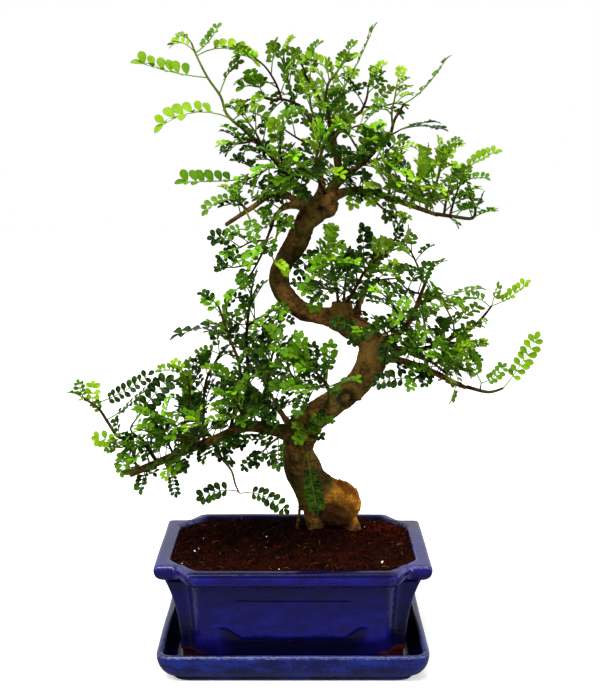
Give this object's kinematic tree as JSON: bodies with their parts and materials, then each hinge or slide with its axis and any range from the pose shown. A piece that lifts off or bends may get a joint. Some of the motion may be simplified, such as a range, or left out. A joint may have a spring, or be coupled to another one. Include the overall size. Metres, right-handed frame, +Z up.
{
  "type": "sichuan pepper bonsai in a glazed pot",
  "caption": "Small S-trunked tree with leafy sprays of rounded leaflets, rooted in a notched rectangular glazed pot that stands on a matching saucer.",
  "frame": {"origin": "centre of the saucer's flat underside, on the surface that it stands on", "axes": "+Z up the tree, +X along the pot's long side to the right of its front, -Y towards the front"},
  "size_m": [0.3414, 0.1633, 0.4671],
  "materials": {
    "pot_glaze": "gloss",
    "saucer_glaze": "gloss",
    "net_plastic": "matte",
    "soil": "matte",
    "bark": "matte",
    "dark_leaf": "satin",
    "lime_leaf": "satin"
  },
  "bodies": {
    "root": {"saucer": "saucer_glaze", "pot": "pot_glaze", "drain_net_left": "net_plastic", "drain_net_right": "net_plastic", "soil": "soil", "trunk": "bark", "spray_top_left_shoot": "lime_leaf", "spray_crown_left": "dark_leaf", "spray_crown_front_left": "lime_leaf", "spray_crown_top_front": "lime_leaf", "spray_crown_top_left": "dark_leaf", "spray_crown_top_tall": "lime_leaf", "spray_crown_back": "dark_leaf", "spray_crown_right": "dark_leaf", "spray_right_shoot": "lime_leaf", "spray_right_inner": "dark_leaf", "spray_left_upper": "dark_leaf", "spray_left_upper_back": "dark_leaf", "spray_left_mid": "dark_leaf", "spray_left_front": "dark_leaf", "spray_left_front_low": "lime_leaf", "spray_collar_front": "dark_leaf", "spray_left_low_shoot": "dark_leaf", "spray_left_hanging": "dark_leaf", "spray_left_hanging_right": "lime_leaf", "spray_stub_left": "dark_leaf", "spray_stub_right": "dark_leaf", "spray_stub_back": "dark_leaf", "spray_mid_back": "dark_leaf", "spray_right_upright": "dark_leaf", "spray_right_up_front": "dark_leaf", "spray_right_mid_tip": "lime_leaf", "spray_right_mid_low": "dark_leaf", "spray_right_low_tip": "lime_leaf", "spray_right_low_mid": "dark_leaf", "spray_right_low_inner": "lime_leaf", "spray_pad_right_front": "lime_leaf", "spray_pad_right_front_low": "lime_leaf", "spray_pad_right_crown": "lime_leaf", "spray_pad_right_tip": "dark_leaf", "spray_pad_right_back": "dark_leaf", "spray_pad_right_under": "dark_leaf", "spray_pad_right_upper": "dark_leaf", "spray_far_left": "dark_leaf", "spray_far_left_low": "dark_leaf", "spray_low_pad_rise_left": "lime_leaf", "spray_low_pad_rise_mid": "dark_leaf", "spray_low_pad_tall": "dark_leaf", "spray_low_pad_tall_left": "dark_leaf", "spray_low_pad_inner": "dark_leaf", "spray_low_pad_front_left": "lime_leaf", "spray_low_pad_front": "dark_leaf", "spray_low_pad_under": "dark_leaf", "spray_low_drop": "dark_leaf", "spray_low_back": "dark_leaf", "spray_low_front": "dark_leaf", "spray_trunk_front_leaf": "dark_leaf", "spray_trunk_front_lime": "lime_leaf", "spray_trunk_left_low": "dark_leaf"}
  },
  "joints": []
}
